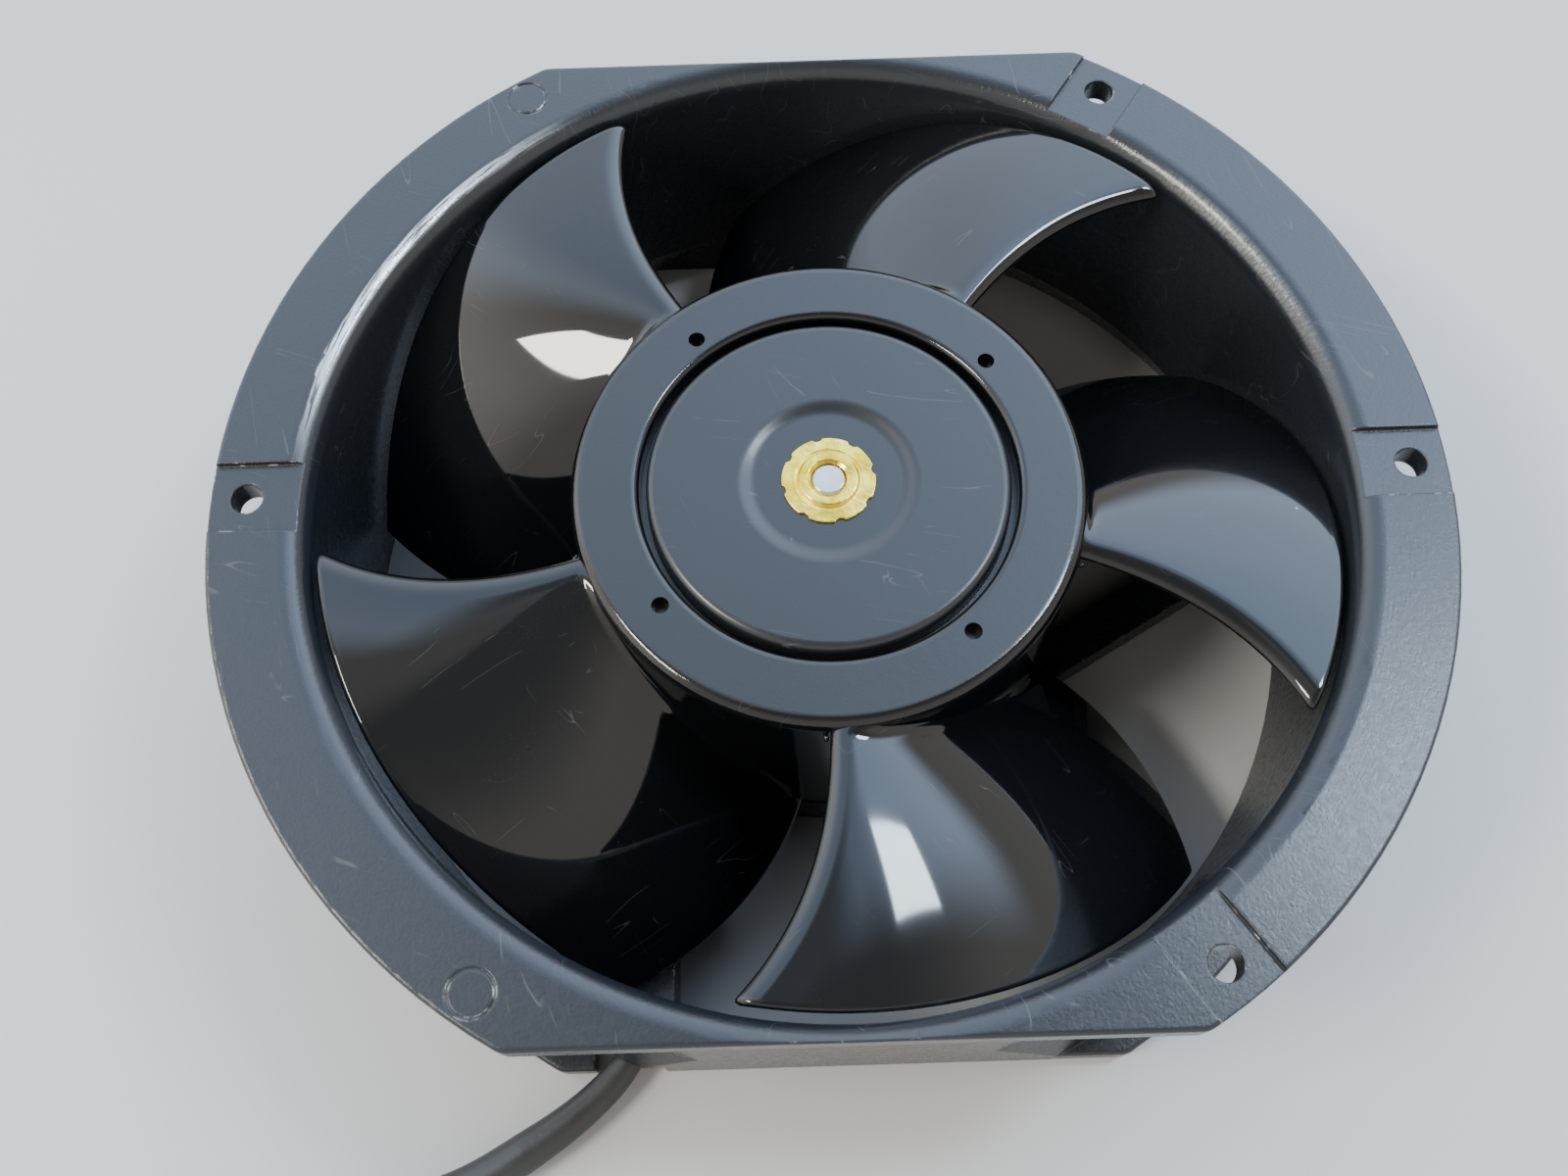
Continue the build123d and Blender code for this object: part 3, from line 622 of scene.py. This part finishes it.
def laminated_steel():
    """Stacked electrical sheet: thin dark joints between bright sheared edges."""
    s = Shader("lamination_steel")
    height = s.polar()[2]
    sheet = s.math("FRACT", s.math("MULTIPLY", height, 2000.0))
    joint = s.remap(s.math("ABSOLUTE", s.math("SUBTRACT", sheet, 0.5)), 0.34, 0.46)
    stain = s.noise(300, 4)
    tone = s.mix(stain, grey(0.22), grey(0.36))
    tone = s.mix(joint, tone, grey(0.05))
    return s.finish(Base_Color=tone, Metallic=0.9, Roughness=s.remap(stain, 0.2, 0.8, 0.35, 0.55),
                    Normal=s.bump(joint, 0.00004, 0.6))


def wound_copper():
    """Enamelled magnet wire: close parallel turns with a warm varnish, and shade painted into the
    grooves between the turns.
    """
    s = Shader("enamelled_copper")
    turns = s.math("SINE", s.math("MULTIPLY", s.polar()[0], 18000.0))
    varnish = s.noise(180, 3)
    tone = s.mix(varnish, (0.42, 0.12, 0.035, 1), (0.62, 0.25, 0.09, 1))
    # Painted shade: the grooves between the turns are darkened.
    tone = s.mix(s.remap(turns, -0.9, 0.0, 0.7, 0.0), tone, (0.08, 0.03, 0.015, 1))
    return s.finish(Base_Color=tone, Metallic=0.7, Roughness=s.remap(varnish, 0.3, 0.7, 0.25, 0.4),
                    Coat_Weight=0.5, Normal=s.bump(turns, 0.00005, 0.7))


def sheath(name, tone, rough, ribs):
    """Extruded cable plastic: satin, with drawing lines, dust and rub spots."""
    s = Shader(name)
    rub = s.noise(140, 4, 0.6)
    fine = s.noise(1500, 3)
    dust = s.math("MULTIPLY", s.remap(s.noise(3400, 2), 0.6, 0.75),
                  s.remap(s.noise(70, 3), 0.45, 0.7))
    colour = s.mix(rub, grey(tone, 1.15), grey(tone * 1.7, 1.1))
    colour = s.mix(s.math("MULTIPLY", dust, 0.5), colour, grey(0.14))
    normal = s.bump(fine, 0.00005, ribs, s.bump(rub, 0.0002, 0.3))
    return s.finish(Base_Color=colour, Roughness=s.remap(rub, 0.25, 0.75, rough, rough + 0.16),
                    Normal=normal)


def moulded(name, tone, rough=0.45, grain=1800.0):
    """Plain moulded plastic with a fine spark-eroded grain, flow tint and soft edges."""
    s = Shader(name)
    flow = s.noise(110, 3)
    return s.finish(Base_Color=s.mix(flow, darker(tone, 0.75), tone),
                    Roughness=s.remap(flow, 0.2, 0.8, rough, rough + 0.12),
                    Subsurface_Weight=0.05, Subsurface_Radius=(0.001, 0.001, 0.0008),
                    Normal=s.bump(s.noise(grain, 3), 0.00003, 0.5, s.softened(0.00015)))


def plated(name, tone, rough=0.3):
    """Bright plating: cloudy patches and small rub marks."""
    s = Shader(name)
    cloud = s.noise(420, 4, 0.6)
    rub = s.scratches(300, 25, 0.02, 0.5)
    clouded = s.mix(cloud, darker(tone, 0.78), tone)
    return s.finish(Base_Color=s.mix(s.math("MULTIPLY", rub, 0.4), clouded, grey(0.85)), Metallic=1.0,
                    Roughness=s.remap(cloud, 0.25, 0.75, rough, rough + 0.18),
                    Normal=s.bump(cloud, 0.00004, 0.4, s.softened(0.00012)))


def brushed_foil():
    """Blank label foil, brushed one way."""
    s = Shader("foil_label")
    brush = s.noise(220, 3, 0.7, s.stretched((0.2, 14.0, 1.0)))
    colour = s.mix(brush, grey(0.5), grey(0.68))
    return s.finish(Base_Color=colour, Metallic=0.9, Roughness=s.remap(brush, 0.2, 0.8, 0.28, 0.45),
                    Normal=s.bump(brush, 0.00002, 0.5))


def board():
    """Fibre laminate with its weave showing through."""
    s = Shader("board_laminate")
    split = s.add("SeparateXYZ", {0: s.place}).outputs
    weave = s.math("MULTIPLY", s.math("SINE", s.math("MULTIPLY", split["X"], 7000.0)),
                   s.math("SINE", s.math("MULTIPLY", split["Y"], 7000.0)))
    cloud = s.noise(160, 3)
    colour = s.mix(cloud, (0.30, 0.21, 0.08, 1), (0.45, 0.34, 0.15, 1))
    colour = s.mix(s.remap(weave, -1, 1, 0.0, 0.25), colour, (0.6, 0.5, 0.26, 1))
    return s.finish(Base_Color=colour, Roughness=0.4, Normal=s.bump(weave, 0.00002, 0.4))


MATERIALS = {
    "black_paint": paint_on_casting(),
    "black_plastic": gloss_plastic("black_plastic"),
    "black_steel": coated_steel(),
    "lamination_steel": laminated_steel(),
    "cast_aluminium": plated("cast_aluminium", grey(0.62), 0.42),
    "bright_steel": turned_metal("bright_steel", grey(0.60)),
    "bearing_steel": turned_metal("bearing_steel", grey(0.66), 0.1, 14000.0),
    "yellow_zinc": yellow_zinc(),
    "natural_nylon": moulded("natural_nylon", (0.62, 0.58, 0.46, 1)),
    "black_nylon": moulded("black_nylon", (0.016, 0.016, 0.018, 1), 0.38),
    "enamelled_copper": wound_copper(),
    "tinned_copper": plated("tinned_copper", (0.72, 0.70, 0.66, 1)),
    "board_laminate": board(),
    "zinc_screw": plated("zinc_screw", grey(0.58, 1.04)),
    "cover_steel": moulded("cover_steel", (0.016, 0.016, 0.018, 1), 0.35, 2600.0),
    "foil_label": brushed_foil(),
    "wire_insulation": sheath("wire_insulation", 0.012, 0.3, 0.3),
    "cable_sheath": sheath("cable_sheath", 0.014, 0.36, 0.5),
}


def dress_cad_nodes():
    """Gives every carried-over CAD node the material of its slot in the record."""
    for row in frame["record"]["subparts"]:
        node = nodes[row["node"]]
        node.data.materials.clear()
        node.data.materials.append(MATERIALS[row["material_slot"]])


# ---- stage --------------------------------------------------------------------------------------
CAMERA_PLACE = Vector((-6.55, -92.02, 228.04))
CAMERA_RIGHT = Vector((0.9995, -0.0287, -0.0130))
CAMERA_UP = Vector((0.0315, 0.9191, 0.3927))
CAMERA_BACK = Vector((0.0007, -0.3929, 0.9196))
LENS_MM = 32.96
SENSOR_MM = 36.0
FLOOR_HALF = 3.0                # metres
LAMP_DISTANCE = 1.2


def camera():
    """The photographer's view: over the near flat, looking down on the intake."""
    data = bpy.data.cameras.new("camera")
    data.lens = LENS_MM
    data.sensor_width = SENSOR_MM
    data.clip_start = 0.005
    data.clip_end = 20
    shot = bpy.data.objects.new("camera", data)
    bpy.context.scene.collection.objects.link(shot)
    turn = Matrix((CAMERA_RIGHT, CAMERA_UP, CAMERA_BACK)).transposed()
    shot.matrix_world = Matrix.Translation(CAMERA_PLACE * MM) @ turn.to_4x4()
    bpy.context.scene.camera = shot


def floor():
    """A plain pale tabletop under the fan."""
    s = Shader("pale_floor")
    cloud = s.noise(9, 4)
    fine = s.noise(700, 3)
    surface = s.finish(Base_Color=s.mix(cloud, grey(0.42), grey(0.48)),
                       Roughness=s.remap(fine, 0.2, 0.8, 0.5, 0.65), Normal=s.bump(fine, 0.00004, 0.4))
    bm = bmesh.new()
    bmesh.ops.create_grid(bm, x_segments=1, y_segments=1, size=FLOOR_HALF)
    mesh = bpy.data.meshes.new("floor")
    bm.to_mesh(mesh)
    bm.free()
    mesh.materials.append(surface)
    plane = bpy.data.objects.new("floor", mesh)
    bpy.context.scene.collection.objects.link(plane)


def softbox(name, place, aim, width, height, power, colour):
    """A rectangular area lamp that faces a point."""
    data = bpy.data.lights.new(name, "AREA")
    data.shape = "RECTANGLE"
    data.size = width
    data.size_y = height
    data.energy = power
    data.color = colour
    lamp = bpy.data.objects.new(name, data)
    bpy.context.scene.collection.objects.link(lamp)
    lamp.location = place
    lamp.rotation_mode = "QUATERNION"
    lamp.rotation_quaternion = (Vector(aim) - Vector(place)).to_track_quat("-Z", "Y")


def towards(azimuth, elevation):
    """A lamp's place in a direction given in degrees: azimuth from +X, elevation from the floor."""
    az, el = math.radians(azimuth), math.radians(elevation)
    return (LAMP_DISTANCE * math.cos(el) * math.cos(az), LAMP_DISTANCE * math.cos(el) * math.sin(az),
            LAMP_DISTANCE * math.sin(el))


def room():
    """A cool, soft bank of light behind the fan and a dim, warmer room around the rest."""
    s = Shader("room", room=True)
    split = s.add("SeparateXYZ", {0: s.place}).outputs
    x, y, z = split["X"], split["Y"], split["Z"]
    flat = s.math("SQRT", s.math("ADD", s.math("MULTIPLY", x, x), s.math("MULTIPLY", y, y)))
    side, depth = s.math("DIVIDE", x, flat), s.math("DIVIDE", y, flat)
    sill = s.math("SUBTRACT", z, s.remap(side, 0.6, 0.82, 0.17, 0.42))
    rise = s.math("MULTIPLY", s.remap(sill, 0.0, 0.16), s.remap(z, 0.95, 0.988, 1.0, 0.12))
    bank = s.math("MULTIPLY", rise, s.remap(depth, 0.12, 0.5))
    near_window = s.math("MULTIPLY", s.remap(side, -0.4, 0.9), s.remap(z, 0.86, 0.95, 1.25, 0.0))
    bank = s.math("MULTIPLY", bank, s.math("ADD", near_window, 1.0))
    dim = s.math("MULTIPLY", s.remap(z, 0.6, 0.97, 1.2, 0.4), s.remap(side, -1.0, -0.68, 2.5, 1.1))
    warm = s.add("VectorMath", {0: (1.0, 0.95, 0.88), "Scale": dim}, operation="SCALE").outputs[0]
    cool = s.add("VectorMath", {0: (1.3, 1.82, 2.6), "Scale": bank}, operation="SCALE").outputs[0]
    light = s.add("VectorMath", {0: warm, 1: cool}, operation="ADD").outputs[0]
    glow = s.add("Background", {"Color": light, "Strength": 1.0})
    s.add("OutputWorld", {"Surface": glow.outputs["Background"]})
    bpy.context.scene.world = s.owner


def lights():
    """The room, a cool lamp on the right and a warm one on the left."""
    room()
    centre = (0, 0, 0.03)
    softbox("key", towards(16, 59.5), centre, 0.16, 0.27, 6.5, (0.74, 0.88, 1.0))
    softbox("left", towards(-165, 52), centre, 0.36, 0.16, 10, (1.0, 0.98, 0.88))


# ---- build --------------------------------------------------------------------------------------
dress_cad_nodes()
hub = impeller_hub(gloss_plastic("black_plastic_hub", satin_top=True))
impeller_blades(MATERIALS["black_plastic"])
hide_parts("impeller")
washer(MATERIALS["yellow_zinc"])

camera()
floor()
lights()
